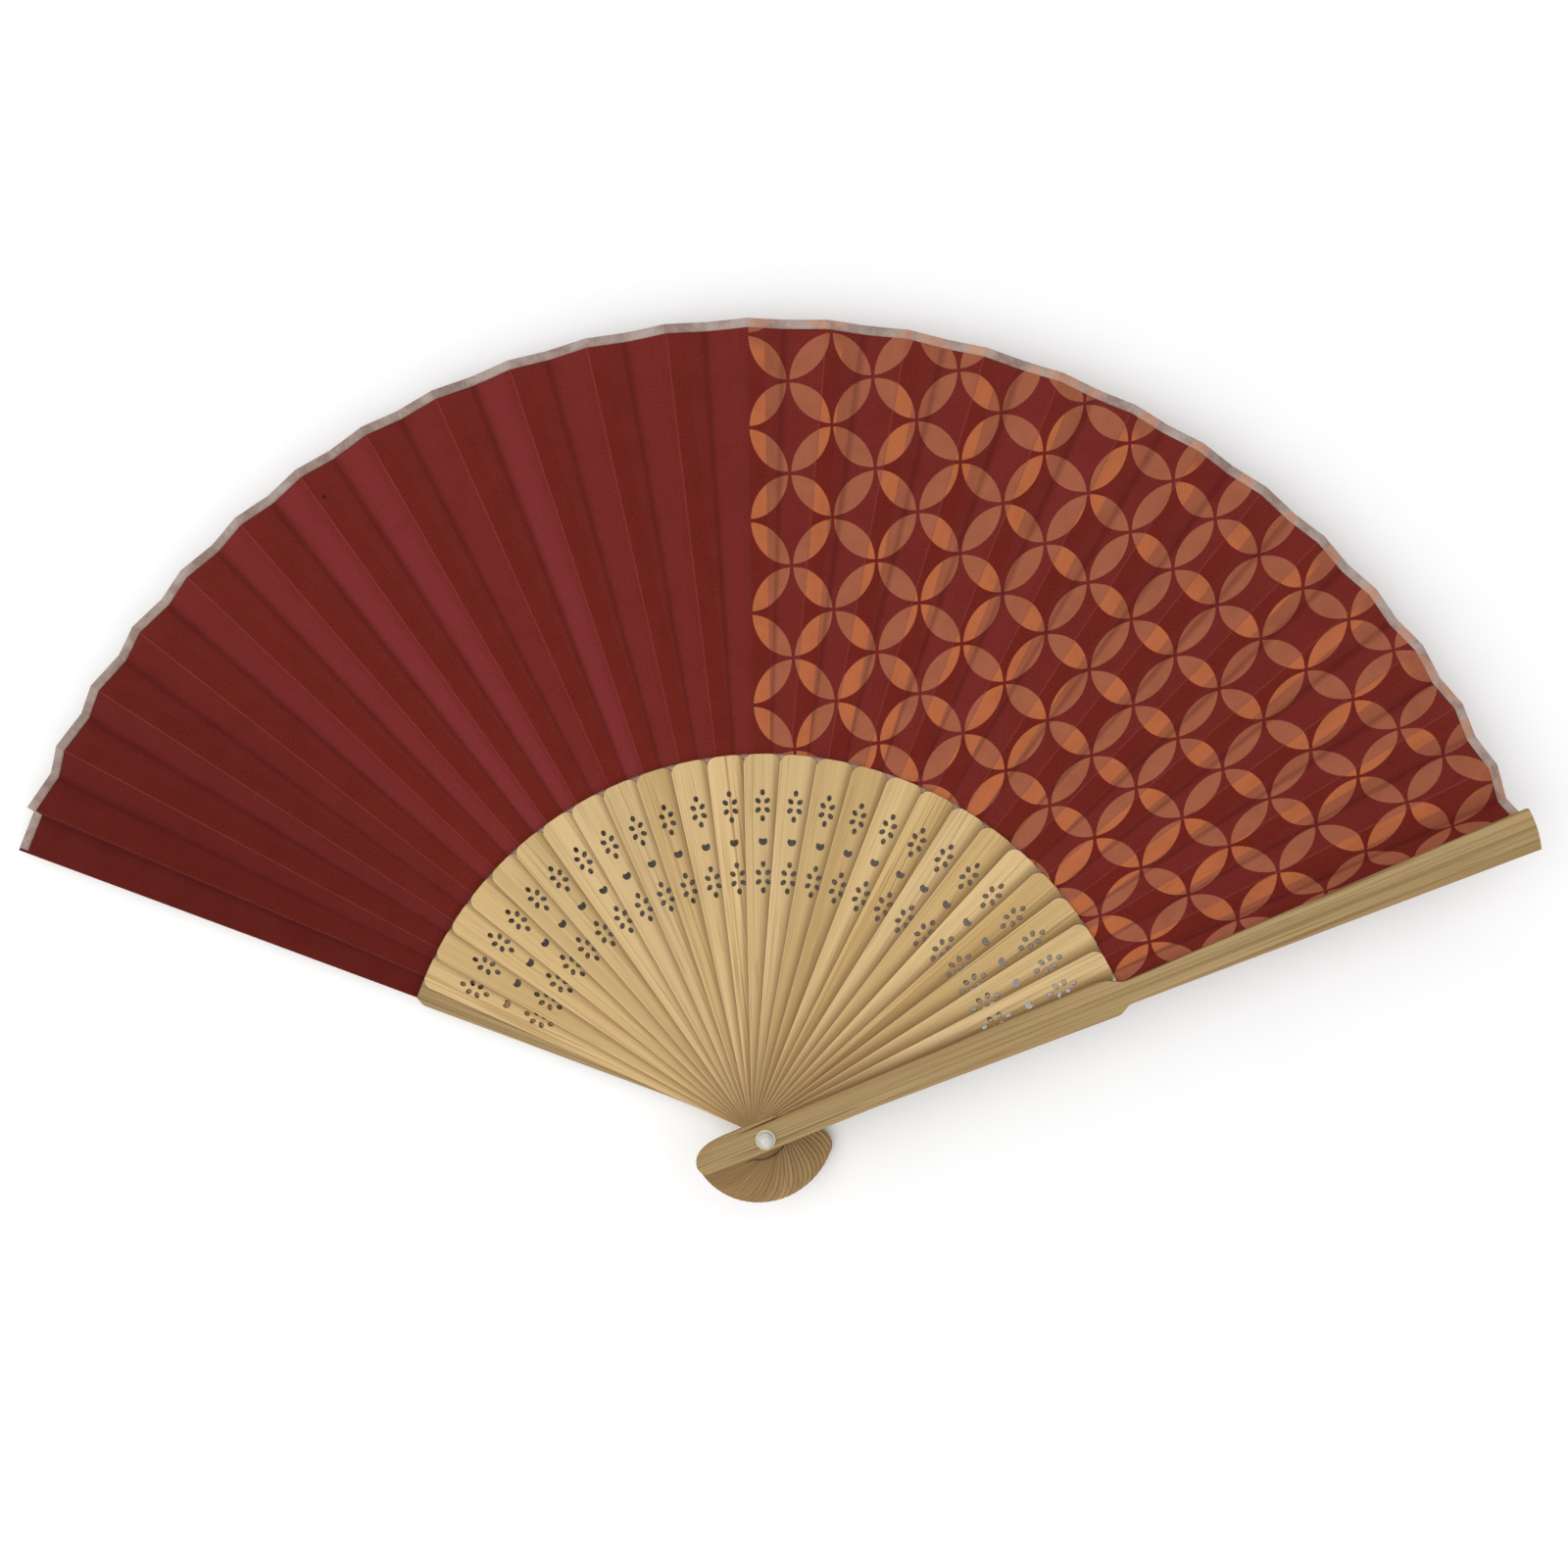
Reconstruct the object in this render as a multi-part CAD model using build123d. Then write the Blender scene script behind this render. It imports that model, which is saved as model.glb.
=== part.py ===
from build123d import *
import math
import os

# Folding hand fan, open and lying flat with its front side up. Millimetres and degrees.
# The rivet's axis is Z, with the origin on the flat back face of the rivet cap. The middle sticks
# point along +Y. The sticks are stacked along Z, from the back guard (left, lowest) to the front
# guard (right, highest), and every stick is drawn along +X before it is turned to its own angle.

# --- driving dimensions -------------------------------------------------------------------------
stick_count = 25
back_guard_angle = 158.05
opening_angle = 136.0
first_pitch = 3.1  # the first inner stick stands close to the back guard
pitch_rise = 1.0  # how much wider the pitch is in the middle of the fan than at its ends
pitch_skew = 0.85

guard_length = 193.5
back_guard_length = 189.0
guard_tail = 17.2
guard_thickness = 1.6
shoulder_radius = 89.4  # where the blades end and the leaf begins

stick_thickness = 0.5
stick_gap = 0.1
stick_tail = 17.1
blade_half_width = 4.4
neck_half_width = 3.3
blade_corner = 2.3

rib_end = 186.0
rib_width = 3.8
rib_thickness = 0.22
rib_lift = 0.08  # above the stick's back face

leaf_inner_radius = 89.8
leaf_outer_radius = 191.0
leaf_thickness = 0.12
half_panel = 1.35  # half the angle of a panel that is glued to a rib
crease_lean = -3.5  # how far the last stick's creases lean sideways between the leaf's two edges
pleat_start = 80.0  # the radius at which the pleats' height would reach zero
pleat_height_end = 4.6
pleat_height_middle = 2.2
first_ridge_height = 4.3
crease_gap = 0.12  # degrees left free beside each ridge

rivet_radius = 1.15
hole_radius = 1.2
washer_radius = 2.35
washer_thickness = 0.3
cap_radius = 2.1
cap_thickness = 1.0
pearl_radius = 1.65
pearl_height = 1.7
running_gap = 0.05

flower_radii = (77.3, 60.3)
flower_end_petals = (3.08, 3.1)
flower_side_petals = ((1.08, 1.08), (1.12, 1.12))
end_petal_size = (0.68, 0.5)
side_petal_size = (0.7, 0.52)
shield_radius = 68.7

# --- heights in the stack -----------------------------------------------------------------------
back_guard_bottom = cap_thickness + washer_thickness
back_guard_top = back_guard_bottom + guard_thickness
stick_pitch = stick_thickness + stick_gap
front_guard_bottom = back_guard_top + stick_gap + stick_count * stick_pitch
front_guard_top = front_guard_bottom + guard_thickness
last = stick_count + 1  # the number of the front guard, where the back guard is number 0


def stick_bottom(number):
    return back_guard_top + stick_gap + (number - 1) * stick_pitch


# --- angles -------------------------------------------------------------------------------------
def pitch_angles():
    """The angle from each stick to the next, from the back guard to the front guard."""
    swell = [math.sin(math.pi * ((k + 0.5) / stick_count) ** pitch_skew) for k in range(stick_count)]
    end_pitch = (opening_angle - first_pitch - pitch_rise * sum(swell)) / stick_count
    return [first_pitch] + [end_pitch + pitch_rise * s for s in swell]


pitches = pitch_angles()
angles = [back_guard_angle - sum(pitches[:number]) for number in range(last + 1)]


# --- pleats -------------------------------------------------------------------------------------
def pleat_height(number):
    across = math.sin(math.pi * (number - 0.5) / last)
    return pleat_height_end - (pleat_height_end - pleat_height_middle) * across


def ridge_rise(number):
    """How far a stick's left crease stands above its rib at the leaf's outer edge."""
    if number in (0, last):
        return 0.0
    return first_ridge_height * (stick_count - number) / (stick_count - 1)


def valley_drop(number):
    """How far a stick's right crease lies below its rib at the leaf's outer edge."""
    if number in (0, last):
        return 0.0
    return pleat_height(number) - ridge_rise(number)


def leaf_base(number):
    """The height of the leaf's back face where a stick's pleat is flat."""
    if number == 0:
        return back_guard_top
    if number == last:
        return front_guard_bottom - leaf_thickness
    return stick_bottom(number) + rib_lift + rib_thickness


def pleat_share(radius):
    return (radius - pleat_start) / (leaf_outer_radius - pleat_start)


def crease_shift(number, radius):
    """How far to the left of the stick's axis the middle of its glued panel lies."""
    if number in (0, last):
        return 0.0
    along = max(0.0, (radius - leaf_inner_radius) / (leaf_outer_radius - leaf_inner_radius))
    return crease_lean * along * (number - 1) / (stick_count - 1)


def panel_reach(radius):
    return radius * math.tan(math.radians(half_panel))


def panel_height(number, radius, offset):
    """The height of the leaf's back face over a rib, at a distance to the left of the stick's axis."""
    across = (offset - crease_shift(number, radius)) / panel_reach(radius)
    middle = (ridge_rise(number) - valley_drop(number)) / 2
    slope = (ridge_rise(number) + valley_drop(number)) / 2
    return leaf_base(number) + pleat_share(radius) * (middle + slope * across)


def strip_section(radius, top_line, thickness):
    """An upright outline across a stick: a line of (offset, height) points, and the same line lower."""
    below = [(offset, height - thickness) for offset, height in reversed(top_line)]
    return Wire.make_polygon([Vector(radius, y, z) for y, z in top_line + below], close=True)


def pleat_section(number, radius):
    """Across one glued panel, down to the valley, and up the free panel to the next ridge."""
    ridge = crease_shift(number, radius) + panel_reach(radius)
    valley = crease_shift(number, radius) - panel_reach(radius)
    line = [
        (ridge, panel_height(number, radius, ridge)),
        (valley, panel_height(number, radius, valley)),
    ]
    if number < last:
        following = number + 1
        next_side = crease_shift(following, radius) + panel_reach(radius)
        turned = Vector(radius, next_side).rotate(Axis.Z, -pitches[number])
        next_ridge = radius * turned.Y / turned.X
        next_height = leaf_base(following) + pleat_share(radius) * ridge_rise(following)
        share = 1 - radius * math.radians(crease_gap) / (valley - next_ridge)
        line.append(
            (
                valley + share * (next_ridge - valley),
                line[1][1] + share * (next_height - line[1][1]),
            )
        )
    raised = [(offset, height + leaf_thickness) for offset, height in line]
    return strip_section(radius, raised, leaf_thickness)


def leaf_pleat(number):
    sections = [pleat_section(number, radius) for radius in (leaf_inner_radius, leaf_outer_radius)]
    return Solid.make_loft(sections, ruled=True)


# --- sticks -------------------------------------------------------------------------------------
def blade_outline():
    """A stick's wide part, from its rounded tail to its rounded top."""
    straight_end = shoulder_radius - blade_corner
    tail_edge = Spline(
        (-stick_tail, 0),
        (-15.6, 2.75),
        (-11.3, 4.1),
        (-4.5, 3.6),
        (6.0, neck_half_width),
        tangents=[(0, 1), (1, 0.012)],
    )
    side = Line((6.0, neck_half_width), (straight_end, blade_half_width))
    corner = RadiusArc(
        (straight_end, blade_half_width),
        (shoulder_radius, blade_half_width - blade_corner),
        blade_corner,
    )
    top = Line((shoulder_radius, blade_half_width - blade_corner), (shoulder_radius, 0))
    half = [tail_edge, side, corner, top]
    return make_face(half + [edge.mirror(Plane.XZ) for edge in half])


def petal(along, across, size, turn):
    return Pos(along, across) * Rot(0, 0, turn) * Ellipse(*size)


def flower(radius, end_distance, side_along, side_across):
    petals = [petal(radius + side * end_distance, 0, end_petal_size, 0) for side in (-1, 1)]
    lean = math.degrees(math.atan2(side_across, side_along))
    for along_side in (-1, 1):
        for across_side in (-1, 1):
            turn = lean * along_side * across_side
            where = (radius + along_side * side_along, across_side * side_across)
            petals.append(petal(*where, side_petal_size, turn))
    return petals


def shield():
    """A rounded hole with two small horns that point away from the rivet."""
    edges = [
        Polyline((0.42, -1.0), (0.9, -0.74), (0.6, 0), (0.9, 0.74), (0.42, 1.0)),
        ThreePointArc((0.42, 1.0), (-0.84, 0), (0.42, -1.0)),
    ]
    return Pos(shield_radius, 0) * make_face(edges)


def pierced_holes():
    holes = [shield()]
    for radius, end_distance, side in zip(flower_radii, flower_end_petals, flower_side_petals):
        holes += flower(radius, end_distance, *side)
    return holes


def blade():
    face = blade_outline() - Circle(hole_radius)
    for hole in pierced_holes():
        face -= hole
    return extrude(face, stick_thickness)


def rib_section(number, radius, flat):
    """Across a rib. Its left edge follows the ridge crease, and it is flat inside the blade."""
    left = crease_shift(number, radius) + panel_reach(radius) - 0.3
    line = []
    for offset in (left, left - rib_width):
        height = leaf_base(number) if flat else panel_height(number, radius, offset)
        line.append((offset, height - 0.02))
    return strip_section(radius, line, rib_thickness - 0.02)


def rib(number):
    twisted = [leaf_inner_radius - 0.05, 98.0, 110.0, 130.0, 155.0, rib_end]
    sections = [rib_section(number, radius, True) for radius in (82.0, shoulder_radius + 0.05)]
    sections += [rib_section(number, radius, False) for radius in twisted]
    return Solid.make_loft(sections, ruled=True)


def inner_stick(number, plain_blade):
    return Pos(0, 0, stick_bottom(number)) * plain_blade + rib(number)


# --- guards -------------------------------------------------------------------------------------
def guard(length):
    """The thick outer stick. Its tail swells to the left, and its upper part widens to the tip."""
    left = [
        Spline(
            (-guard_tail, -0.2),
            (-15.0, 3.1),
            (-9.0, 4.3),
            (4.0, 4.0),
            (22.0, 3.6),
            tangents=[(0.05, 1), (1, 0.01)],
        ),
        Line((22.0, 3.6), (82.0, 4.75)),
        Spline((82.0, 4.75), (87.6, 4.2), (92.0, 2.62), tangents=[(1, 0.02), (1, 0.02)]),
    ]
    right = [
        ThreePointArc((-guard_tail, -0.2), (-16.45, -2.0), (-14.7, -2.8)),
        Line((-14.7, -2.8), (25.0, -2.65)),
        Line((25.0, -2.65), (86.6, -4.17)),
        Spline((86.6, -4.17), (88.9, -3.35), (91.0, -2.72), tangents=[(1, -0.02), (1, -0.025)]),
    ]
    tip = [
        Line((92.0, 2.62), (length - 0.7, 4.72)),
        RadiusArc((length - 0.7, 4.72), (length - 1.4, -5.15), 24),
        Line((length - 1.4, -5.15), (91.0, -2.72)),
    ]
    face = make_face(left + tip + right) - Circle(hole_radius)
    return extrude(face, guard_thickness)


def back_guard():
    """The same guard turned over, so that it is the mirror image of the front one."""
    return Pos(0, 0, back_guard_bottom) * guard(back_guard_length).mirror(Plane.XZ)


def front_guard():
    return Pos(0, 0, front_guard_bottom) * guard(guard_length)


# --- rivet --------------------------------------------------------------------------------------
shank_bottom = 0.4
front_washer_bottom = front_guard_top + running_gap
head_bottom = front_washer_bottom + washer_thickness


def washer(bottom):
    return Pos(0, 0, bottom) * extrude(Circle(washer_radius) - Circle(hole_radius), washer_thickness)


def rivet_pin():
    """A straight shank with a domed, pearl-like head."""
    shank = Pos(0, 0, shank_bottom) * extrude(Circle(rivet_radius), head_bottom - shank_bottom + 0.2)
    dome = make_face(
        [
            Line((0, 0), (pearl_radius * 0.8, 0)),
            Spline(
                (pearl_radius * 0.8, 0),
                (pearl_radius, pearl_height * 0.42),
                (pearl_radius * 0.66, pearl_height * 0.86),
                (0, pearl_height),
                tangents=[(1, 0.6), (-1, 0)],
            ),
            Line((0, pearl_height), (0, 0)),
        ]
    )
    head = revolve(Plane.XZ * dome, Axis.Z)
    return shank + Pos(0, 0, head_bottom) * head


def rivet_cap():
    """A low button with a rounded rim and a flat back, pressed on to the end of the shank."""
    button = extrude(Circle(cap_radius), cap_thickness)
    button = fillet(button.edges().sort_by(Axis.Z)[0], 0.45)
    return button - Pos(0, 0, shank_bottom) * extrude(Circle(rivet_radius), cap_thickness)


# --- the assembly -------------------------------------------------------------------------------
def assembly():
    nodes = {
        "back_guard": Rot(0, 0, angles[0]) * back_guard(),
        "front_guard": Rot(0, 0, angles[last]) * front_guard(),
        "rivet_pin": rivet_pin(),
        "rivet_cap": rivet_cap(),
        "washer_back": washer(cap_thickness),
        "washer_front": washer(front_washer_bottom),
    }
    plain_blade = blade()
    for number in range(1, last):
        nodes[f"stick_{number:02d}"] = Rot(0, 0, angles[number]) * inner_stick(number, plain_blade)
    for number in range(last + 1):
        nodes[f"leaf_pleat_{number:02d}"] = Rot(0, 0, angles[number]) * leaf_pleat(number)
    return nodes


os.makedirs("parts", exist_ok=True)
for name, shape in assembly().items():
    export_step(shape, f"parts/{name}.step")
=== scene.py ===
import math
import random

import bpy
import numpy as np
from mathutils import Euler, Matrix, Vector, noise


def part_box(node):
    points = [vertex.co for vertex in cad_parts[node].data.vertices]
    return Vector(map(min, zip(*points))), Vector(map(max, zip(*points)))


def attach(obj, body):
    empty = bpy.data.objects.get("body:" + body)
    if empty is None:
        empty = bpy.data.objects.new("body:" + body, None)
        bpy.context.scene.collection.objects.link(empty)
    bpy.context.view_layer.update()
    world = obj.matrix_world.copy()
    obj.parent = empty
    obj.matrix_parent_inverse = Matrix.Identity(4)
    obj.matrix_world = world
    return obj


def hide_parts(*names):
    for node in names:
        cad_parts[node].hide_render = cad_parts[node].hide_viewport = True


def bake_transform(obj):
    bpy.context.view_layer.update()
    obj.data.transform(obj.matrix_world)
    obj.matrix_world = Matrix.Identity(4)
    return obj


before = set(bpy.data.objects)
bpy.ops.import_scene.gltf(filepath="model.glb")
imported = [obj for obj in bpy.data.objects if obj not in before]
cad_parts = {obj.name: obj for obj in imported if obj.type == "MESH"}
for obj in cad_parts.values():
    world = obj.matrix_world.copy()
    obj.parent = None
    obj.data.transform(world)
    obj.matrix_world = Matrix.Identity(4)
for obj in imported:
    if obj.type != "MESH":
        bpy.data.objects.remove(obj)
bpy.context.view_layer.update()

# Folding hand fan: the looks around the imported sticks, guards and rivet. Lengths in this script
# are millimetres and angles degrees, until a mesh or a light is made in metres.
MM = 0.001

# --- camera -------------------------------------------------------------------------------------
camera_data = bpy.data.cameras.new("camera")
camera_data.lens = 38.85
camera_data.sensor_width = 36.0
camera = bpy.data.objects.new("camera", camera_data)
camera.location = Vector((1.4, 93.4, 410.0)) * MM
camera.rotation_euler = Euler([math.radians(a) for a in (-1.59, -0.43, -0.02)])
bpy.context.scene.collection.objects.link(camera)
bpy.context.scene.camera = camera
bpy.context.scene.view_settings.view_transform = "Standard"

# --- the fan's own dimensions, as the CAD has them ----------------------------------------------
STICKS = 25
LAST = STICKS + 1  # number of the front guard, where the back guard is number 0
BACK_ANGLE = 158.05
OPENING = 136.0
FIRST_PITCH = 3.1
PITCH_RISE = 1.0
PITCH_SKEW = 0.85
STICK_GAP = 0.1
STICK_RISE = 0.6  # from one stick's back face to the next one's
CREASE_IN = 89.8
LEAF_OUT = 191.0
PLEAT_START = 80.0
HALF_PANEL = 1.35
CREASE_LEAN = -3.5
HEIGHT_END = 4.6
HEIGHT_MIDDLE = 2.2
FIRST_RIDGE = 4.3
RIB_TOP = 0.3  # from a stick's back face to the front of its rib
GUARD_BLADE_START = 92.0  # the radius at which the guard's upper part begins
GUARD_BLADE_HALF = 2.75
GUARD_BLADE_WIDENING = 2.4 / 97.0
NECK_HALF = 3.3  # half a stick's width at its narrow end
WIDENING = 1.1 / 81.1  # how much each half of a stick widens with the distance from the rivet
BACK_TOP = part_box("back_guard")[1].z / MM
FRONT_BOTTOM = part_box("front_guard")[0].z / MM

# --- the cloth ----------------------------------------------------------------------------------
CLOTH = 0.12
LEAF_IN = 89.5
FLAT_PANEL = 3.1  # the angle of one panel when the leaf lies flat
SEAM_RIDGE = 13  # the printed half of the leaf begins at this ridge
CLOTH_BELOW = CLOTH - 0.03  # the cloth's own thickness, clear of the ribs
CLOTH_OVERLAP = 0.3  # how far the cloth reaches past the back guard's side
SOFT_WRINKLES = (0.05, 0.05)  # waves per millimetre across and up the flat leaf
FINE_WRINKLES = (0.22, 0.12)
FINE_SHARE = 0.25
SOFT_SEED = 3.0
FINE_SEED = 12.0
SLACK_RUN = 12.0  # the cloth is taut at its inner edge, and slack from this far out
GLUED_BULGE = 0.16
FREE_RIPPLE = 0.36
FREE_SAG = 0.1
TAPE_WIDTH = 2.1
TAPE_THICK = 0.04
TAPE_CLEAR = 0.02
TAPE_START = 0.07  # the share of the first panel that the rim tape leaves bare
TAPE_STEPS = 3
INNER_TAPE_RADII = (86.9, 87.9, 88.9, LEAF_IN + 0.4)
INNER_TAPE_REACH = 1.2  # how far it runs past the middle of each of its two sticks
INNER_TAPE_DROP = 0.03
ACROSS = (0.0, 0.03, 0.1, 0.22, 0.36, 0.5, 0.64, 0.78, 0.9, 0.97, 1.0)
ALONG = 44

random.seed(7)
# How far each crease strays at the rim: its valley up and sideways, and its ridge up.
VALLEY_LIFT = [random.uniform(0.0, 0.35) for _ in range(LAST + 1)]
VALLEY_SIDE = [random.uniform(-0.4, 0.4) for _ in range(LAST + 1)]
RIDGE_LIFT = [random.uniform(0.0, 0.2) for _ in range(LAST + 1)]
# How strong a painted pink sheen each free panel has, for the light it catches. A few near the back guard
# stand out.
PAINTED_SHEEN = [random.uniform(0.0, 0.3) for _ in range(LAST + 1)]
PAINTED_SHEEN[4:11] = [0.5, 0.6, 0.9, 0.85, 0.25, 0.85, 0.3]
# Painted shade: the pleats by the back guard are darker.
GUARD_SIDE_SHADE = [0.42, 0.3, 0.24, 0.16, 0.08] + [0.0] * (LAST - 4)  # the cloth is darker by the back guard


def pitch_angles():
    swell = [math.sin(math.pi * ((k + 0.5) / STICKS) ** PITCH_SKEW) for k in range(STICKS)]
    end_pitch = (OPENING - FIRST_PITCH - PITCH_RISE * sum(swell)) / STICKS
    return [FIRST_PITCH] + [end_pitch + PITCH_RISE * s for s in swell]


PITCHES = pitch_angles()
ANGLES = [BACK_ANGLE - sum(PITCHES[:number]) for number in range(LAST + 1)]
BODIES = ["back_side"] + [f"blade_{n:02d}" for n in range(1, LAST)] + ["front_side"]


def stick_bottom(number):
    return BACK_TOP + STICK_GAP + (number - 1) * STICK_RISE


def cloth_top(number):
    """The height of the cloth's front where a stick's pleat is flat."""
    if number == 0:
        return BACK_TOP + CLOTH
    if number == LAST:
        return FRONT_BOTTOM
    return stick_bottom(number) + RIB_TOP + CLOTH


def ridge_rise(number):
    if number in (0, LAST):
        return 0.0
    return FIRST_RIDGE * (STICKS - number) / (STICKS - 1)


def valley_drop(number):
    if number in (0, LAST):
        return 0.0
    height = HEIGHT_END - (HEIGHT_END - HEIGHT_MIDDLE) * math.sin(math.pi * (number - 0.5) / LAST)
    return height - ridge_rise(number)


def pleat_share(radius):
    return (radius - PLEAT_START) / (LEAF_OUT - PLEAT_START)


def way_out(radius):
    """0 at the inner end of the creases and 1 at the leaf's rim."""
    return max(0.0, (radius - CREASE_IN) / (LEAF_OUT - CREASE_IN))


def crease_shift(number, radius):
    if number in (0, LAST):
        return 0.0
    return CREASE_LEAN * way_out(radius) * (number - 1) / (STICKS - 1)


def half_panel_width(radius):
    return radius * math.tan(math.radians(HALF_PANEL))


def turned(number, along, side, height):
    """A point beside a stick, in millimetres of the whole fan."""
    a = math.radians(ANGLES[number])
    return np.array(
        [along * math.cos(a) - side * math.sin(a), along * math.sin(a) + side * math.cos(a), height]
    )


def guard_edge(radius):
    """How far the back guard reaches to its left, so that the cloth covers it."""
    half_width = GUARD_BLADE_HALF + (radius - GUARD_BLADE_START) * GUARD_BLADE_WIDENING
    return half_width + CLOTH_OVERLAP


def unevenness(number, radius):
    """The share of its stray that a crease has: none at the leaf's inner edge and at the guards."""
    if number in (0, LAST):
        return 0.0
    return way_out(radius)


def ridge(number, radius):
    reach = half_panel_width(radius)
    if number == 0:
        reach = max(reach, guard_edge(radius))
    height = cloth_top(number) + pleat_share(radius) * ridge_rise(number)
    height += RIDGE_LIFT[number] * unevenness(number, radius)
    return turned(number, radius, reach + crease_shift(number, radius), height)


def valley(number, radius):
    stray = unevenness(number, radius)
    reach = half_panel_width(radius) + VALLEY_SIDE[number] * stray
    height = cloth_top(number) - pleat_share(radius) * valley_drop(number)
    height += VALLEY_LIFT[number] * stray
    return turned(number, radius, crease_shift(number, radius) - reach, height)


# --- meshes -------------------------------------------------------------------------------------
def grid_object(name, rows, layers, material, thickness, back=None):
    """A sheet of cloth from rows of points in millimetres.

    layers names each UV layer and gives the function of row, column and cell that fills it. The
    points are the cloth's front face, and back is the material of its other face.
    """
    height, width = len(rows), len(rows[0])
    points = [tuple(np.array(p) * MM) for row in rows for p in row]
    faces = []
    corners = []
    for i in range(height - 1):
        for j in range(width - 1):
            cell = [(i, j), (i + 1, j), (i + 1, j + 1), (i, j + 1)]
            faces.append([a * width + b for a, b in cell])
            corners.append([(a, b, j) for a, b in cell])
    mesh = bpy.data.meshes.new(name)
    mesh.from_pydata(points, [], faces)
    if mesh.polygons[0].normal.z < 0:
        mesh.flip_normals()
    for layer_name, value in layers.items():
        layer = mesh.uv_layers.new(name=layer_name)
        for polygon, cell in zip(mesh.polygons, corners):
            column = cell[0][2]
            for loop in polygon.loop_indices:
                vertex = mesh.loops[loop].vertex_index
                layer.data[loop].uv = value(vertex // width, vertex % width, column)
    mesh.polygons.foreach_set("use_smooth", [True] * len(mesh.polygons))
    mesh.materials.append(material)
    piece = bpy.data.objects.new(name, mesh)
    bpy.context.scene.collection.objects.link(piece)
    solid = piece.modifiers.new("thickness", "SOLIDIFY")
    solid.thickness = thickness * MM
    solid.offset = -1.0
    solid.use_even_offset = False
    if back is not None:
        mesh.materials.append(back)
        solid.material_offset = 1
    return piece


def flat_angle(number, across):
    """The angle from the seam when the leaf lies flat. across is 0 and 2 at ridges and 1 at the valley."""
    return (2 * (number - SEAM_RIDGE) + across) * FLAT_PANEL


def wrinkle(flat_x, flat_y):
    def layer(scale, seed):
        return noise.noise(Vector((flat_x * scale[0], flat_y * scale[1], seed)))

    soft = layer(SOFT_WRINKLES, SOFT_SEED)
    fine = layer(FINE_WRINKLES, FINE_SEED)
    return (1.0 - FINE_SHARE) * soft + FINE_SHARE * fine


def leaf_columns(number):
    """Positions across a pleat: 0 to 1 is the glued panel and 1 to 2 the free one."""
    columns = list(ACROSS)
    if number < LAST:
        columns += [1.0 + t for t in ACROSS[1:]]
    return columns


def pleat_point(number, across, radius):
    if across <= 1.0:
        start, end, t = ridge(number, radius), valley(number, radius), across
    else:
        start, end, t = valley(number, radius), ridge(number + 1, radius), across - 1.0
    return start + t * (end - start)


def leaf_point(number, across, radius):
    """A point of the cloth, with a little slackness between its creases."""
    point = pleat_point(number, across, radius)
    t = across if across <= 1.0 else across - 1.0
    arch = 4.0 * t * (1.0 - t)  # 0 at both creases and 1 midway
    slack = arch * min(1.0, (radius - LEAF_IN) / SLACK_RUN)
    a = math.radians(flat_angle(number, across))
    ripple = wrinkle(radius * math.sin(a), radius * math.cos(a))
    if across <= 1.0:
        point[2] += slack * GLUED_BULGE * max(0.0, 0.3 + ripple)
    elif number > 0:
        point[2] += slack * (FREE_RIPPLE * ripple - FREE_SAG)
    return point


# The UV layers that the cloth's materials read. Each function gives the filler of one layer.
DECIMETRE = 100.0
CENTIMETRE = 10.0


def uv_flat(number, columns, radii):
    """The place on the flat leaf, in decimetres, with the seam on the second axis."""
    def value(row, column, cell):
        a = math.radians(flat_angle(number, columns[column]))
        return radii[row] * math.sin(a) / DECIMETRE, radii[row] * math.cos(a) / DECIMETRE

    return value


def uv_panel(number, columns, radii):
    """Across: centimetres from the ridge on the glued panel, 2 to 3 on the free one. Up: decimetres."""
    def value(row, column, cell):
        across, radius = columns[column], radii[row]
        if columns[cell] >= 1.0:
            return across + 1.0, radius / DECIMETRE
        return across * 2.0 * half_panel_width(radius) / CENTIMETRE, radius / DECIMETRE

    return value


def uv_sheen_and_place(number, columns, radii):
    """How strong the free panel's painted pink sheen is, and the place across the pleat from 0 to 2."""
    def value(row, column, cell):
        return PAINTED_SHEEN[number], columns[column]

    return value


def uv_guard_shade(number, columns, radii):
    """How much painted shade darkens the whole pleat."""
    def value(row, column, cell):
        return GUARD_SIDE_SHADE[number], 0.0

    return value


LEAF_LAYERS = {"flat": uv_flat, "panel": uv_panel, "tone": uv_sheen_and_place, "guard_shade": uv_guard_shade}


# --- node materials: object coordinates are in metres -------------------------------------------
def rgb(red, green, blue):
    """A display colour as linear light, with alpha."""
    linear = []
    for value in (red, green, blue):
        share = value / 255.0
        linear.append(share / 12.92 if share <= 0.04045 else ((share + 0.055) / 1.055) ** 2.4)
    return (*linear, 1.0)


def evenly(scale):
    return (scale, scale, scale)


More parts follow.
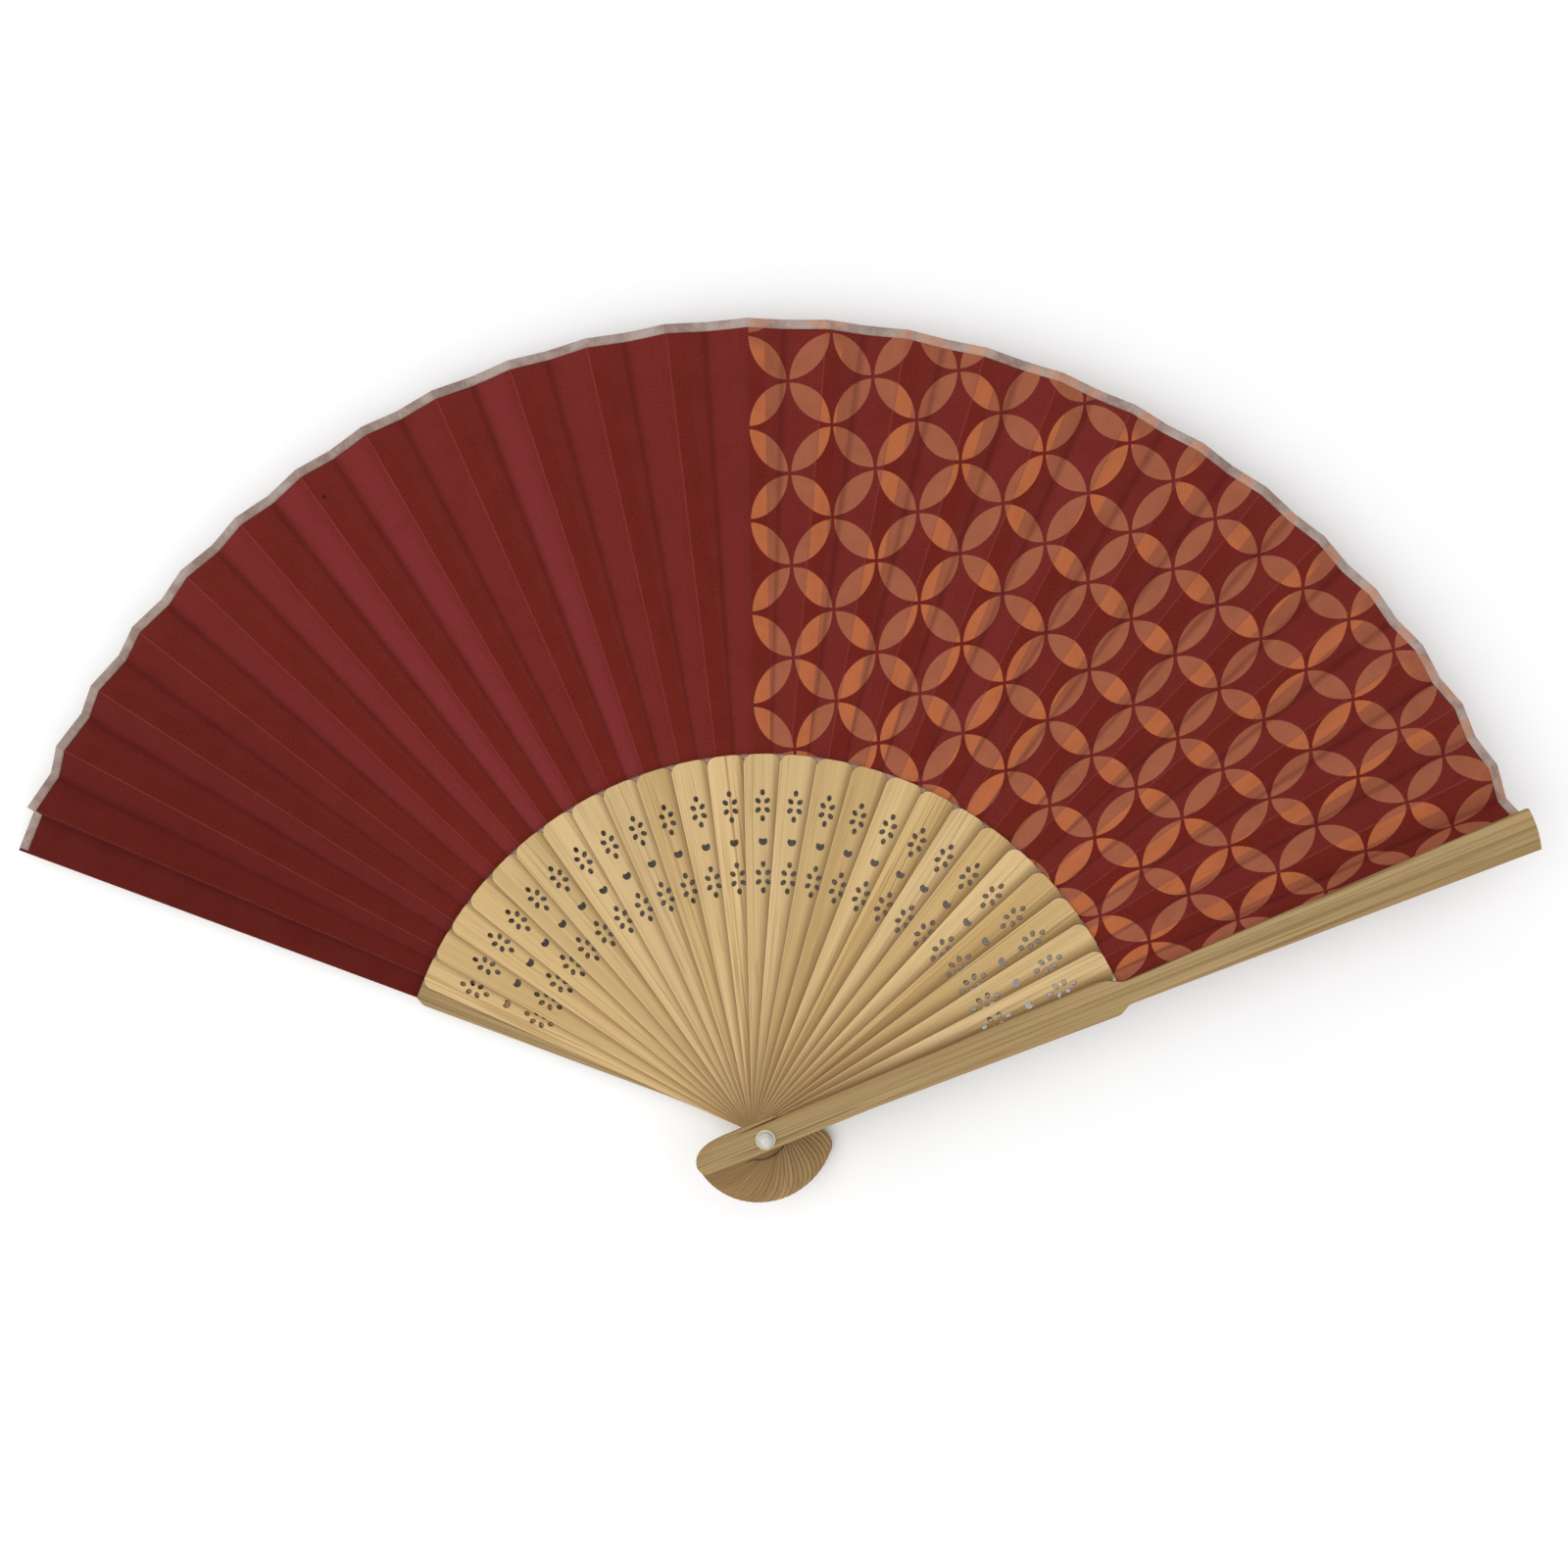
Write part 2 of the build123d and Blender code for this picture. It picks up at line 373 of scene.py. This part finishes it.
class Graph:
    """A node material with short calls for the nodes used here."""

    def __init__(self, name, **shader_values):
        self.material = bpy.data.materials.new(name)
        self.material.use_nodes = True
        self.nodes = self.material.node_tree.nodes
        self.links = self.material.node_tree.links
        self.shader = self.nodes["Principled BSDF"]
        for socket, value in shader_values.items():
            self.shader.inputs[socket.replace("_", " ")].default_value = value

    def _set(self, node, index, value):
        if isinstance(value, bpy.types.NodeSocket):
            self.links.new(value, node.inputs[index])
        elif value is not None:
            node.inputs[index].default_value = value

    def math(self, operation, a, b=None, c=None, clamp=False):
        node = self.nodes.new("ShaderNodeMath")
        node.operation = operation
        node.use_clamp = clamp
        for index, value in enumerate((a, b, c)):
            self._set(node, index, value)
        return node.outputs[0]

    def remap(self, value, low, high, out_low=0.0, out_high=1.0, smooth=True):
        node = self.nodes.new("ShaderNodeMapRange")
        node.interpolation_type = "SMOOTHSTEP" if smooth else "LINEAR"
        for index, v in enumerate((value, low, high, out_low, out_high)):
            self._set(node, index, v)
        return node.outputs[0]

    def mix(self, factor, a, b, blend="MIX"):
        node = self.nodes.new("ShaderNodeMix")
        node.data_type = "RGBA"
        node.blend_type = blend
        self._set(node, 0, factor)
        self._set(node, 6, a)
        self._set(node, 7, b)
        return node.outputs[2]

    def shade(self, colour, target, value, none, full, amount):
        """Mixes target in: not at all where value is none, and by amount where it is full."""
        return self.mix(self.remap(value, none, full, 0.0, amount), colour, target)

    def within(self, value, low, high):
        """1 between low and high, and 0 outside."""
        above = self.math("GREATER_THAN", value, low)
        return self.math("MULTIPLY", above, self.math("LESS_THAN", value, high))

    def from_zero(self, value, middle=0.0):
        return self.math("ABSOLUTE", self.math("SUBTRACT", value, middle))

    def uv(self, name):
        node = self.nodes.new("ShaderNodeUVMap")
        node.uv_map = name
        return node.outputs[0]

    def split(self, vector):
        node = self.nodes.new("ShaderNodeSeparateXYZ")
        self.links.new(vector, node.inputs[0])
        return node.outputs

    def join(self, x, y):
        node = self.nodes.new("ShaderNodeCombineXYZ")
        self._set(node, 0, x)
        self._set(node, 1, y)
        return node.outputs[0]

    def length(self, vector):
        node = self.nodes.new("ShaderNodeVectorMath")
        node.operation = "LENGTH"
        self.links.new(vector, node.inputs[0])
        return node.outputs["Value"]

    def place(self, scale=(1.0, 1.0, 1.0), turn=0.0, shift=(0.0, 0.0, 0.0), vector=None):
        """Object coordinates turned about Z by -turn degrees, moved and then scaled."""
        if vector is None:
            vector = self.nodes.new("ShaderNodeTexCoord").outputs["Object"]
        rotate = self.nodes.new("ShaderNodeVectorRotate")
        rotate.rotation_type = "Z_AXIS"
        rotate.inputs["Angle"].default_value = math.radians(-turn)
        self.links.new(vector, rotate.inputs["Vector"])
        mapping = self.nodes.new("ShaderNodeMapping")
        mapping.inputs["Location"].default_value = shift
        mapping.inputs["Scale"].default_value = scale
        self.links.new(rotate.outputs[0], mapping.inputs[0])
        return mapping.outputs[0]

    def noise(self, vector, scale=1.0, detail=2.0, rough=0.5, distortion=0.0):
        node = self.nodes.new("ShaderNodeTexNoise")
        self.links.new(vector, node.inputs["Vector"])
        node.inputs["Scale"].default_value = scale
        node.inputs["Detail"].default_value = detail
        node.inputs["Roughness"].default_value = rough
        node.inputs["Distortion"].default_value = distortion
        return node.outputs[0]

    def bump(self, height, distance, strength=1.0, normal=None):
        node = self.nodes.new("ShaderNodeBump")
        node.inputs["Strength"].default_value = strength
        node.inputs["Distance"].default_value = distance
        self.links.new(height, node.inputs["Height"])
        if normal is not None:
            self.links.new(normal, node.inputs["Normal"])
        return node.outputs[0]

    def finish(self, colour, roughness, normal=None):
        self.links.new(colour, self.shader.inputs["Base Color"])
        self._set(self.shader, "Roughness", roughness)
        if normal is not None:
            self.links.new(normal, self.shader.inputs["Normal"])
        return self.material


# --- bamboo: noise in waves per metre along a stick, across it and through it -------------------
FIBRES = (16.0, 1500.0, 900.0)
STRIPES = (5.0, 420.0, 300.0)
BROAD_BANDS = (9.0, 90.0, 90.0)
BLOTCHES = (55.0, 120.0, 90.0)
PORES = (70.0, 2100.0, 900.0)
GUARD_ROWS = (7.0, 2000.0, 900.0)

PORE_BROWN = rgb(122, 88, 48)
STICK_LIGHTS = (rgb(196, 169, 123), rgb(184, 155, 104))  # of the palest and of the yellowest stick
STICK_DARKS = (rgb(180, 152, 105), rgb(160, 130, 80))
STICK_STREAK = rgb(136, 102, 56)
STICK_BRIGHTNESS = (1.18, 1.36)
# painted shadow that a stick casts on the one below it
NEXT_STICK_SHADOW = rgb(124, 90, 46)
# painted highlight along a stick's left edge
EDGE_HIGHLIGHT = rgb(214, 188, 142)
# painted shade on the walls of the pierced holes and around them
HOLE_RIM_SHADE = rgb(88, 56, 14)
HOLE_WALL_SHADE = rgb(110, 70, 22)
GUARD_ROW_BROWN = rgb(110, 80, 40)


def bamboo(name, turn, light, dark, streak, streakiness, seed, brightness=1.0):
    """Split bamboo whose fibres run along a stick that stands at the angle turn."""
    g = Graph(name, Specular_IOR_Level=0.35)
    shift = (seed * 0.37, seed * 1.91, seed * 0.71)

    def grain(scale, detail, rough):
        return g.noise(g.place(scale, turn, shift), 1.0, detail, rough)

    fibre = grain(FIBRES, 3.0, 0.6)
    stripe = grain(STRIPES, 3.0, 0.55)
    broad = grain(BROAD_BANDS, 2.0, 0.5)
    tone = g.math("ADD", g.math("MULTIPLY", stripe, 0.5), g.math("MULTIPLY", broad, 0.5))
    colour = g.mix(g.remap(tone, 0.33, 0.67), dark, light)
    lines = g.math("MULTIPLY", g.remap(fibre, 0.48, 0.64), g.remap(stripe, 0.40, 0.58))
    colour = g.mix(g.math("MULTIPLY", lines, streakiness), colour, streak)
    colour = g.shade(colour, PORE_BROWN, grain(PORES, 1.0, 0.4), 0.66, 0.76, 0.35)
    colour = g.shade(colour, dark, grain(BLOTCHES, 3.0, 0.6), 0.55, 0.85, 0.25)
    if brightness != 1.0:
        colour = g.mix(1.0, colour, (*evenly(brightness), 1.0), "MULTIPLY")
    rough = g.remap(fibre, 0.2, 0.8, 0.48, 0.66)
    height = g.math("ADD", g.math("MULTIPLY", fibre, 0.6), stripe)
    return g, colour, rough, g.bump(height, 0.18 * MM, 0.55)


# --- the pierced holes of a stick, where the CAD has them ---------------------------------------
FLOWERS = ((77.3, 3.08, 1.08), (60.3, 3.1, 1.12))  # middle, and how far end and side petals lie off
END_PETAL = (0.68, 0.5)
SIDE_PETAL = (0.7, 0.52)
SIDE_PETAL_TURN = 45.0
SHIELD_MIDDLE = 68.7
SHIELD = (0.62, 0.9)  # an oval of about the shield's size
PIERCED = (56.0, 82.0)  # the holes lie between these radii
PIERCED_HALF = 3.1  # and within this of the stick's middle
HOLE_RIM_WIDTH = 0.1  # the width of the painted shade around a hole
STEEP = 0.5  # a face is a hole's wall where its normal rises less than this


def shaded_hole_rims(g, along, side):
    """1 within a narrow rim around each hole of a stick that lies along the first coordinate, where
    painted shade goes.
    """
    across = g.from_zero(side)

    def oval(place, middle, size, turn):
        """The distance from an oval's middle, as a share of its own radius and the shaded rim's width."""
        node = g.nodes.new("ShaderNodeMapping")
        node.vector_type = "TEXTURE"
        node.inputs["Location"].default_value = (middle[0] * MM, middle[1] * MM, 0.0)
        node.inputs["Rotation"].default_value = (0.0, 0.0, math.radians(turn))
        node.inputs["Scale"].default_value = (*[(half + HOLE_RIM_WIDTH) * MM for half in size], 1.0)
        g.links.new(place, node.inputs[0])
        return g.length(node.outputs[0])

    shield_place = g.join(g.math("SUBTRACT", along, SHIELD_MIDDLE * MM), across)
    nearest = oval(shield_place, (0.0, 0.0), SHIELD, 0.0)
    for middle, end, diagonal in FLOWERS:
        place = g.join(g.from_zero(along, middle * MM), across)
        end_petal = oval(place, (end, 0.0), END_PETAL, 0.0)
        side_petal = oval(place, (diagonal, diagonal), SIDE_PETAL, SIDE_PETAL_TURN)
        nearest = g.math("MINIMUM", nearest, g.math("MINIMUM", end_petal, side_petal))
    return g.remap(nearest, 1.05, 0.85)


def hole_walls(g, along, side):
    facing = g.nodes.new("ShaderNodeNewGeometry").outputs["Normal"]
    upright = g.math("LESS_THAN", g.from_zero(g.split(facing)[2]), STEEP)
    inside = g.math("LESS_THAN", g.from_zero(side), PIERCED_HALF * MM)
    reach = g.within(along, PIERCED[0] * MM, PIERCED[1] * MM)
    return g.math("MULTIPLY", upright, g.math("MULTIPLY", inside, reach))


def stick_material(number):
    tone = random.random()
    light = [a + (b - a) * tone for a, b in zip(*STICK_LIGHTS)]
    dark = [a + (b - a) * tone for a, b in zip(*STICK_DARKS)]
    streakiness = 0.4 + 0.6 * random.random() ** 2
    brightness = random.uniform(*STICK_BRIGHTNESS)
    name = f"bamboo_stick_{number:02d}"
    turn = ANGLES[number]
    g, colour, rough, normal = bamboo(
        name, turn, light, dark, STICK_STREAK, streakiness, number * 3.1, brightness
    )
    along, side, _ = g.split(g.place(turn=turn))
    # Painted shadow: a strip darkens beside the edge of the strip that lies on it.
    lean = math.sin(math.radians(PITCHES[number])) - WIDENING
    to_next = g.math("SUBTRACT", g.math("MULTIPLY_ADD", along, lean, side), NECK_HALF * MM)
    ahead = (number / STICKS) ** 2
    shadow_reach = (1.8 + 1.6 * ahead) * MM
    colour = g.shade(colour, NEXT_STICK_SHADOW, to_next, shadow_reach, 0.0, 0.55 + 0.3 * ahead)
    # Its left edge has a painted highlight.
    half_width = g.math("MULTIPLY_ADD", along, WIDENING, NECK_HALF * MM)
    to_edge = g.math("SUBTRACT", half_width, side)
    colour = g.shade(colour, EDGE_HIGHLIGHT, to_edge, 0.4 * MM, 0.1 * MM, 0.45)
    # The pierced holes get painted shade on their walls and in a narrow rim around them.
    colour = g.mix(shaded_hole_rims(g, along, side), colour, HOLE_RIM_SHADE)
    colour = g.mix(g.math("MULTIPLY", hole_walls(g, along, side), 0.9), colour, HOLE_WALL_SHADE)
    return g.finish(colour, rough, normal)


def guard_material(number):
    turn = ANGLES[number]
    g, colour, rough, normal = bamboo(
        f"bamboo_guard_{number:02d}",
        turn,
        light=rgb(172, 145, 98),
        dark=rgb(150, 122, 76),
        streak=rgb(108, 80, 42),
        streakiness=0.8,
        seed=50.0 + number,
    )
    rows = g.noise(g.place(GUARD_ROWS, turn, (number * 1.7, 0.0, 0.0)), 1.0, 1.5, 0.5)
    colour = g.shade(colour, GUARD_ROW_BROWN, rows, 0.5, 0.66, 0.45)
    return g.finish(colour, rough, normal)


# --- the print, on the flat leaf, in decimetres -------------------------------------------------
CELL = 0.1527  # the side of the print's square
PRINT_MIDDLE = 1.657
CIRCLE = CELL / math.sqrt(2.0) - 0.004
INK_EDGE = 0.0009  # half the softness of the ink's outline
INK_BLEED = 0.0012  # how far the ink strays along the threads
SEAM_EDGE = (0.001, 0.003)
SPECK = (-1.084, 1.465)  # one small stain on the plain half


def petals(g, flat_x, flat_y):
    """Over 0 inside the petals of overlapping circles on a square grid turned by 45 degrees."""
    raised = g.math("SUBTRACT", flat_y, PRINT_MIDDLE)
    u = g.math("DIVIDE", g.math("ADD", flat_x, raised), CELL * math.sqrt(2.0))
    v = g.math("DIVIDE", g.math("SUBTRACT", flat_x, raised), CELL * math.sqrt(2.0))

    def from_middle(value):
        return g.from_zero(g.math("FRACT", value), 0.5)

    def lens(along, across):
        side = g.math("MULTIPLY", g.math("SUBTRACT", 1.0, from_middle(across)), CELL)
        far = g.math("MULTIPLY", from_middle(along), CELL)
        squares = g.math("ADD", g.math("POWER", far, 2.0), g.math("POWER", side, 2.0))
        return g.math("SUBTRACT", CIRCLE, g.math("SQRT", squares))

    return g.math("MAXIMUM", lens(u, v), lens(v, u))


# --- the cloth ----------------------------------------------------------------------------------
# Bands of the panel layer, each from where it is absent to where it is full.
RIB_LEFT = (0.018, 0.038)
RIB_RIGHT = (0.425, 0.40)
RIB_END = (1.875, 1.83)
FREE_PANEL = (1.99, 2.01)
LEFT_RIDGE = (0.016, 0.004)
PAST_RIDGE = (-0.1, -0.05)
NEXT_RIDGE = (2.975, 2.992)
# Bands of the tone layer, where a free panel catches the light.
LIT_NEAR_VALLEY = (0.97, 1.3)
LIT_NEAR_RIDGE = (2.0, 1.6)

RED = rgb(107, 32, 26)
RED_OVER_RIB = rgb(105, 29, 20)
# painted sheen: the pink of a free panel where it catches the light
SHEEN_PINK = rgb(124, 44, 47)
RIM_RED = rgb(116, 38, 32)
ORANGE = rgb(154, 88, 62)
ORANGE_OVER_RIB = rgb(181, 102, 62)
ORANGE_SHEEN_FREE = rgb(158, 92, 67)
MOTTLE_DARK = rgb(74, 20, 15)
THREAD_PALE = rgb(176, 104, 88)
THREAD_DARK = rgb(62, 16, 12)
HAIR_DARK = rgb(70, 18, 14)
# painted shade of the pleats by the back guard
SHADE_DARK = rgb(64, 12, 12)
# painted shade in the valleys and a painted highlight along the ridges
VALLEY_SHADE = rgb(58, 14, 11)
RIDGE_HIGHLIGHT = rgb(158, 82, 72)
SEAM_DARK = rgb(74, 18, 15)
STAIN = rgb(48, 20, 14)
BACK_PALE = rgb(128, 62, 54)


def plain_cloth(g, rib, mottle, radius):
    """The dark red ground, with a painted pink sheen in bands on some of the free panels."""
    sheen_share, place, _ = g.split(g.uv("tone"))
    lit = g.math("MULTIPLY", g.remap(place, *LIT_NEAR_VALLEY), g.remap(place, *LIT_NEAR_RIDGE, 0.35, 1.0))
    lit = g.math("MULTIPLY", lit, g.remap(mottle, 0.3, 0.6, 0.55, 1.0))
    red = g.mix(rib, RED, RED_OVER_RIB)
    red = g.mix(g.math("MULTIPLY", lit, sheen_share), red, SHEEN_PINK)
    return g.shade(red, RIM_RED, radius, 1.45, 1.9, 0.25)


def printed_share(g, flat_x, flat_y, weave):
    """1 under the ink, whose outline follows the threads, right of the seam."""
    ink = petals(g, flat_x, flat_y)
    ink = g.math("ADD", ink, g.math("MULTIPLY", g.math("SUBTRACT", weave, 0.5), INK_BLEED))
    ink = g.remap(ink, -INK_EDGE, INK_EDGE)
    return g.math("MULTIPLY", ink, g.remap(flat_x, *SEAM_EDGE))


def creased(g, colour, across):
    """Painted shade darkens the valleys, and a thin painted highlight runs along the ridges."""
    place = g.split(g.uv("tone"))[1]
    colour = g.shade(colour, VALLEY_SHADE, g.from_zero(place, 1.0), 0.16, 0.0, 0.32)
    left = g.math("MULTIPLY", g.remap(across, *LEFT_RIDGE), g.remap(across, *PAST_RIDGE))
    ridges = g.math("ADD", left, g.remap(across, *NEXT_RIDGE), clamp=True)
    return g.mix(g.math("MULTIPLY", ridges, 0.3), colour, RIDGE_HIGHLIGHT)


def leaf_material(name, front):
    g = Graph(name, Specular_IOR_Level=0.08)
    flat = g.uv("flat")
    panel = g.uv("panel")
    flat_x, flat_y, _ = g.split(flat)
    across, radius, _ = g.split(panel)
    mottle = g.noise(g.place(vector=flat), 14.0, 4.0, 0.6)
    weave = g.noise(g.place(vector=flat), 300.0, 2.0, 0.6)
    hairs = g.noise(g.place(scale=(70.0, 3.0, 1.0), vector=panel), 1.0, 3.0, 0.6)
    rib = g.math("MULTIPLY", g.remap(across, *RIB_LEFT), g.remap(across, *RIB_RIGHT))
    rib = g.math("MULTIPLY", rib, g.remap(radius, *RIB_END))
    orange = g.mix(rib, ORANGE, ORANGE_OVER_RIB)
    # The free panels' orange is a little paler: painted sheen.
    orange = g.mix(g.math("MULTIPLY", g.remap(across, *FREE_PANEL), 0.6), orange, ORANGE_SHEEN_FREE)
    red = plain_cloth(g, rib, mottle, radius)
    colour = g.mix(printed_share(g, flat_x, flat_y, weave), red, orange)
    colour = g.shade(colour, MOTTLE_DARK, mottle, 0.35, 0.75, 0.16)
    colour = g.shade(colour, THREAD_PALE, weave, 0.5, 0.8, 0.2)
    colour = g.shade(colour, THREAD_DARK, weave, 0.5, 0.2, 0.3)
    colour = g.shade(colour, HAIR_DARK, hairs, 0.52, 0.72, 0.16)
    # Painted shade darkens the pleats by the back guard.
    colour = g.mix(g.split(g.uv("guard_shade"))[0], colour, SHADE_DARK)
    colour = creased(g, colour, across)
    colour = g.shade(colour, SEAM_DARK, g.from_zero(flat_x), 0.0042, 0.0018, 0.35)
    speck = g.length(g.join(g.math("SUBTRACT", flat_x, SPECK[0]), g.math("SUBTRACT", flat_y, SPECK[1])))
    colour = g.shade(colour, STAIN, speck, 0.0075, 0.003, 0.85)
    if not front:
        colour = g.mix(0.3, colour, BACK_PALE)
    rough = g.remap(mottle, 0.3, 0.8, 0.68, 0.85)
    height = g.math("ADD", weave, g.math("MULTIPLY", mottle, 3.0))
    return g.finish(colour, rough, g.bump(height, 0.06 * MM, 0.5))


# --- tape and plastic ---------------------------------------------------------------------------
GAUZE_PALE = rgb(190, 176, 168)
PRINT_THROUGH_GAUZE = rgb(196, 130, 92)
PEARL_SWIRL = rgb(208, 207, 203)


def tape_material(name, low, high, over_print=False):
    """Thin gauze; over the leaf's rim the print shows a little through it."""
    g = Graph(name, Specular_IOR_Level=0.3)
    soft = g.noise(g.place(evenly(150.0)), 1.0, 4.0, 0.6)
    fine = g.noise(g.place(evenly(1400.0)), 1.0, 2.0, 0.5)
    colour = g.mix(g.remap(soft, 0.35, 0.65), low, high)
    colour = g.shade(colour, GAUZE_PALE, fine, 0.45, 0.8, 0.3)
    if over_print:
        flat_x, flat_y, _ = g.split(g.uv("flat"))
        ink = g.remap(petals(g, flat_x, flat_y), -0.002, 0.002)
        printed = g.math("MULTIPLY", ink, g.remap(flat_x, 0.0, 0.003))
        colour = g.mix(g.math("MULTIPLY", printed, 0.45), colour, PRINT_THROUGH_GAUZE)
    return g.finish(colour, g.remap(soft, 0.3, 0.7, 0.4, 0.6), g.bump(fine, 0.05 * MM, 0.5))


def pearl_material(name, tint):
    g = Graph(name, Specular_IOR_Level=0.6, Coat_Weight=0.5, Coat_Roughness=0.15)
    swirl = g.noise(g.place(evenly(300.0)), 1.0, 2.0, 0.5, 1.0)
    colour = g.mix(g.remap(swirl, 0.3, 0.7), tint, PEARL_SWIRL)
    return g.finish(colour, g.remap(swirl, 0.3, 0.7, 0.24, 0.36), g.bump(swirl, 0.1 * MM, 0.15))


def washer_material():
    g = Graph("clear_washer", Transmission_Weight=0.3, IOR=1.3)
    haze = g.noise(g.place(evenly(500.0)), 1.0, 3.0, 0.6)
    colour = g.mix(g.remap(haze, 0.3, 0.7), rgb(214, 206, 176), rgb(232, 228, 208))
    return g.finish(colour, g.remap(haze, 0.3, 0.7, 0.12, 0.3), g.bump(haze, 0.05 * MM, 0.3))


def dress(node, material):
    """Gives a CAD node its finish."""
    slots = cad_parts[node].data.materials
    slots.clear()
    slots.append(material)


# --- the CAD pieces that show -------------------------------------------------------------------
for number in range(1, LAST):
    dress(f"stick_{number:02d}", stick_material(number))
dress("back_guard", guard_material(0))
dress("front_guard", guard_material(LAST))
pearl = pearl_material("pearl_plastic", rgb(190, 189, 184))
dress("rivet_pin", pearl)
dress("rivet_cap", pearl)
clear = washer_material()
dress("washer_front", clear)
dress("washer_back", clear)

# --- the leaf and its tapes ---------------------------------------------------------------------
leaf_front = leaf_material("leaf_cloth_front", True)
leaf_back = leaf_material("leaf_cloth_back", False)
rim_cloth = tape_material("rim_tape_gauze", rgb(136, 112, 102), rgb(166, 149, 140), over_print=True)
inner_cloth = tape_material("inner_tape_gauze", rgb(184, 148, 130), rgb(204, 174, 158))


def crease_gradient(number):
    """Two points such that a place between them goes from 0 at the valley to 1 at the next ridge."""
    low, high = valley(number, LEAF_IN), valley(number, LEAF_OUT)
    next_low, next_high = ridge(number + 1, LEAF_IN), ridge(number + 1, LEAF_OUT)
    normal = np.cross(high - low, next_high - next_low)
    gradient = normal / (normal @ (next_low - low))
    return low, low + gradient / (gradient @ gradient)


def bind(piece, number):
    """The last pleat is glued to the front guard; the others have their placement baked into their mesh.
    """
    if number == LAST:
        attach(piece, BODIES[LAST])
        return
    start, end = crease_gradient(number)
    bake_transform(piece)


def flat_width(number, radius):
    """How wide one pleat's cloth is once its creases are pressed out."""
    width = np.linalg.norm(valley(number, radius) - ridge(number, radius))
    if number < LAST:
        width += np.linalg.norm(ridge(number + 1, radius) - valley(number, radius))
    return float(width)


def leaf_piece(number):
    columns = leaf_columns(number)
    radii = [LEAF_IN + (LEAF_OUT - LEAF_IN) * k / ALONG for k in range(ALONG + 1)]
    rows = [[leaf_point(number, c, r) for c in columns] for r in radii]
    layers = {name: make(number, columns, radii) for name, make in LEAF_LAYERS.items()}
    return grid_object(f"leaf_{number:02d}", rows, layers, leaf_front, CLOTH_BELOW, leaf_back)


def rim_tape(number):
    """A strip folded over the leaf's rim: its front half, the fold and its back half."""
    columns = leaf_columns(number)
    if number == 0:
        columns[: len(ACROSS)] = [TAPE_START + (1.0 - TAPE_START) * c for c in ACROSS]
    above = TAPE_CLEAR + TAPE_THICK
    below = -CLOTH_BELOW - above
    profile = [(TAPE_WIDTH * (k / TAPE_STEPS - 1.0), above) for k in range(TAPE_STEPS + 1)]
    profile += [(above, above / 2), (above, below / 2), (0.0, below), (-TAPE_WIDTH, below)]
    radii = [min(LEAF_OUT, LEAF_OUT + outward) for outward, _ in profile]
    rows = []
    for radius, (outward, lift) in zip(radii, profile):
        row = []
        for c in columns:
            point = leaf_point(number, c, radius)
            point[:2] *= (LEAF_OUT + outward) / radius
            row.append(point + np.array([0.0, 0.0, lift]))
        rows.append(row)
    layers = {"flat": uv_flat(number, columns, radii)}
    return grid_object(f"rim_tape_{number:02d}", rows, layers, rim_cloth, TAPE_THICK)


def inner_tape(number):
    """The strip that shows between the rounded tops of two neighbouring sticks."""
    height = stick_bottom(number) - INNER_TAPE_DROP
    rows = []
    for radius in INNER_TAPE_RADII:
        left = turned(number, radius, -INNER_TAPE_REACH, height)
        right = turned(number + 1, radius, INNER_TAPE_REACH, height)
        rows.append([left + t * (right - left) for t in (0.0, 0.25, 0.5, 0.75, 1.0)])
    return grid_object(f"inner_tape_{number:02d}", rows, {}, inner_cloth, TAPE_THICK)


for number in range(LAST + 1):
    cloth = leaf_piece(number)
    going_with = []
    if number < LAST:
        going_with.append(rim_tape(number))
    if 1 <= number < LAST - 1:
        going_with.append(inner_tape(number))
    for piece in [cloth] + going_with:
        bind(piece, number)
    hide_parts(f"leaf_pleat_{number:02d}")
    inner, outer = flat_width(number, LEAF_IN), flat_width(number, LEAF_OUT)

# --- floor and light, in metres ------------------------------------------------------------------
FLOOR_HALF = 3.0
FLOOR_DROP = 0.0002  # the floor lies this far under the rivet cap
SKY_STRENGTH = 0.86
LIGHT_AIM = Vector((0.0, 0.09, 0.0))


def floor_material():
    g = Graph("floor_paper", Specular_IOR_Level=0.1)
    grain = g.noise(g.place(evenly(60.0)), 1.0, 3.0, 0.5)
    return g.finish(g.mix(grain, rgb(252, 252, 252), rgb(255, 255, 255)), 0.9)


def lay_floor():
    sides = ((-1, -1), (1, -1), (1, 1), (-1, 1))
    mesh = bpy.data.meshes.new("floor")
    mesh.from_pydata([(x * FLOOR_HALF, y * FLOOR_HALF, 0) for x, y in sides], [], [(0, 1, 2, 3)])
    mesh.materials.append(floor_material())
    floor = bpy.data.objects.new("floor", mesh)
    floor.location.z = -FLOOR_DROP
    bpy.context.scene.collection.objects.link(floor)


def light_the_room():
    world = bpy.data.worlds.new("studio")
    bpy.context.scene.world = world
    world.use_nodes = True
    background = world.node_tree.nodes["Background"]
    background.inputs["Color"].default_value = (1.0, 1.0, 1.0, 1.0)
    background.inputs["Strength"].default_value = SKY_STRENGTH


def soft_light(name, where, size, power):
    light = bpy.data.lights.new(name, "AREA")
    light.shape = "DISK"
    light.size = size
    light.energy = power
    lamp = bpy.data.objects.new(name, light)
    lamp.location = where
    lamp.rotation_euler = (LIGHT_AIM - Vector(where)).to_track_quat("-Z", "Y").to_euler()
    bpy.context.scene.collection.objects.link(lamp)


lay_floor()
light_the_room()
soft_light("key", where=(-0.8, -0.1, 1.3), size=1.6, power=8.0)
